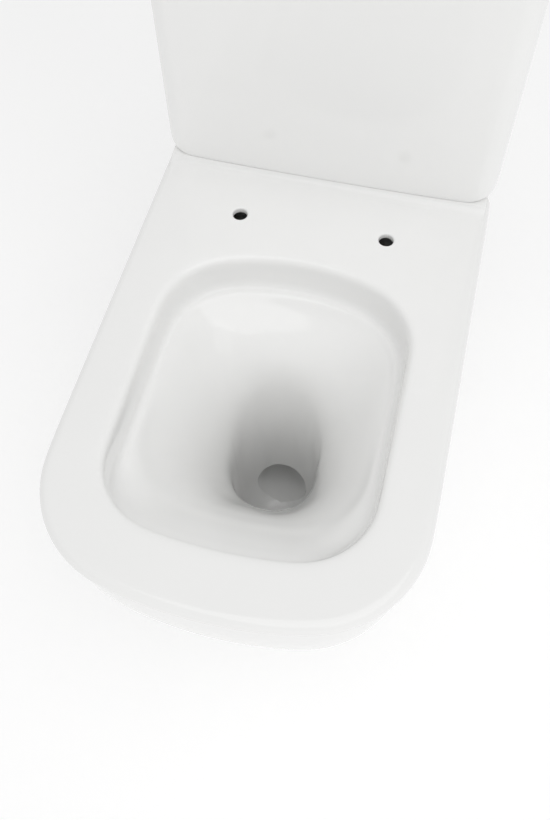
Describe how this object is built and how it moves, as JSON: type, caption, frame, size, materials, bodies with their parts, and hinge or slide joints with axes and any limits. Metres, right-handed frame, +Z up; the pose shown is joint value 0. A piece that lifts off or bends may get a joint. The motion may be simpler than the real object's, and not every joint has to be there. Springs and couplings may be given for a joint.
{
  "type": "close coupled toilet",
  "caption": "Floor standing close coupled toilet: square rimless pan, no seat, cistern with a dual flush valve, fill valve and lift off lid.",
  "frame": {"origin": "on the floor, midway between the sides and between front and back", "axes": "+Z up, +Y towards the wall behind the cistern, +X to the right seen from the front"},
  "size_m": [0.359, 0.6489, 0.7864],
  "materials": {
    "china": "white vitreous china, glossy glaze",
    "chrome_button": "bright chrome plate on plastic",
    "white_plastic": "moulded white polypropylene",
    "grey_plastic": "moulded grey acetal",
    "blue_plastic": "moulded blue polypropylene",
    "clear_plastic": "natural polypropylene, smooth",
    "black_rubber": "black moulded rubber",
    "seal_rubber": "red silicone rubber",
    "foam": "black closed cell foam rubber",
    "steel": "stainless steel, bright drawn",
    "zinc": "bright zinc plated steel"
  },
  "bodies": {
    "toilet": {"pan": "china", "cistern_body": "china", "valve_seat": "white_plastic", "valve_washer": "black_rubber", "valve_backnut": "white_plastic", "valve_cage": "white_plastic", "valve_tower": "white_plastic", "lever_pin": "steel", "coupling_gasket": "foam", "coupling_bolts": "zinc", "cone_washers": "black_rubber", "rubber_washers": "black_rubber", "metal_washers": "zinc", "wing_nuts": "zinc", "fill_valve_body": "white_plastic", "fill_valve_cap": "blue_plastic", "fill_washer": "black_rubber", "fill_backnut": "white_plastic", "arm_pin": "steel"},
    "lid": {"cistern_lid": "china", "button_bezel": "chrome_button", "button_clamp_nut": "white_plastic", "spring_plate": "white_plastic", "full_button_spring": "steel", "half_button_spring": "steel"},
    "full_button": {"full_flush_button": "chrome_button", "full_push_rod": "white_plastic"},
    "half_button": {"half_flush_button": "chrome_button", "half_push_rod": "blue_plastic"},
    "full_lever": {"full_flush_lever": "grey_plastic"},
    "half_lever": {"half_flush_lever": "blue_plastic"},
    "lift_tube": {"lift_tube": "clear_plastic", "flush_seal": "seal_rubber"},
    "half_float": {"half_flush_float": "blue_plastic"},
    "float_arm": {"float_arm": "grey_plastic"},
    "float": {"float_cup": "white_plastic", "float_rod": "grey_plastic"}
  },
  "joints": [
    {"name": "lid_lift", "type": "slide", "parent": "toilet", "child": "lid", "axis": [0, 0, 1], "range_m": [0, 0.2]},
    {"name": "full_press", "type": "slide", "parent": "lid", "child": "full_button", "axis": [0, 0, -1], "range_m": [0, 0.006], "stiffness_N_per_m": 150, "springref_m": -0.004, "deforming": ["full_button_spring"]},
    {"name": "half_press", "type": "slide", "parent": "lid", "child": "half_button", "axis": [0, 0, -1], "range_m": [0, 0.006], "stiffness_N_per_m": 150, "springref_m": -0.004, "deforming": ["half_button_spring"]},
    {"name": "full_lever_turn", "type": "hinge", "parent": "toilet", "child": "full_lever", "pos_m": [0, 0.25, 0.66], "axis": [1, 0, 0], "range_deg": [0, 20.64]},
    {"name": "half_lever_turn", "type": "hinge", "parent": "toilet", "child": "half_lever", "pos_m": [0, 0.25, 0.66], "axis": [1, 0, 0], "range_deg": [0, 20.64]},
    {"name": "tube_lift", "type": "slide", "parent": "toilet", "child": "lift_tube", "axis": [0, 0, 1], "range_m": [0, 0.01045]},
    {"name": "half_float_lift", "type": "slide", "parent": "toilet", "child": "half_float", "axis": [0, 0, 1], "range_m": [0, 0.01045]},
    {"name": "float_rise", "type": "slide", "parent": "toilet", "child": "float", "axis": [0, 0, 1], "range_m": [0, 0.014]},
    {"name": "float_arm_turn", "type": "hinge", "parent": "toilet", "child": "float_arm", "pos_m": [-0.148, 0.223, 0.652], "axis": [0, -1, 0], "range_deg": [0, 22.29]}
  ],
  "couplings": [
    {"joint": "full_lever_turn", "follows": "full_press", "rad_per_m": 60},
    {"joint": "tube_lift", "follows": "full_press", "ratio": 1.74},
    {"joint": "half_lever_turn", "follows": "half_press", "rad_per_m": 60},
    {"joint": "half_float_lift", "follows": "half_press", "ratio": 1.74},
    {"joint": "float_arm_turn", "follows": "float_rise", "rad_per_m": 27.778}
  ]
}
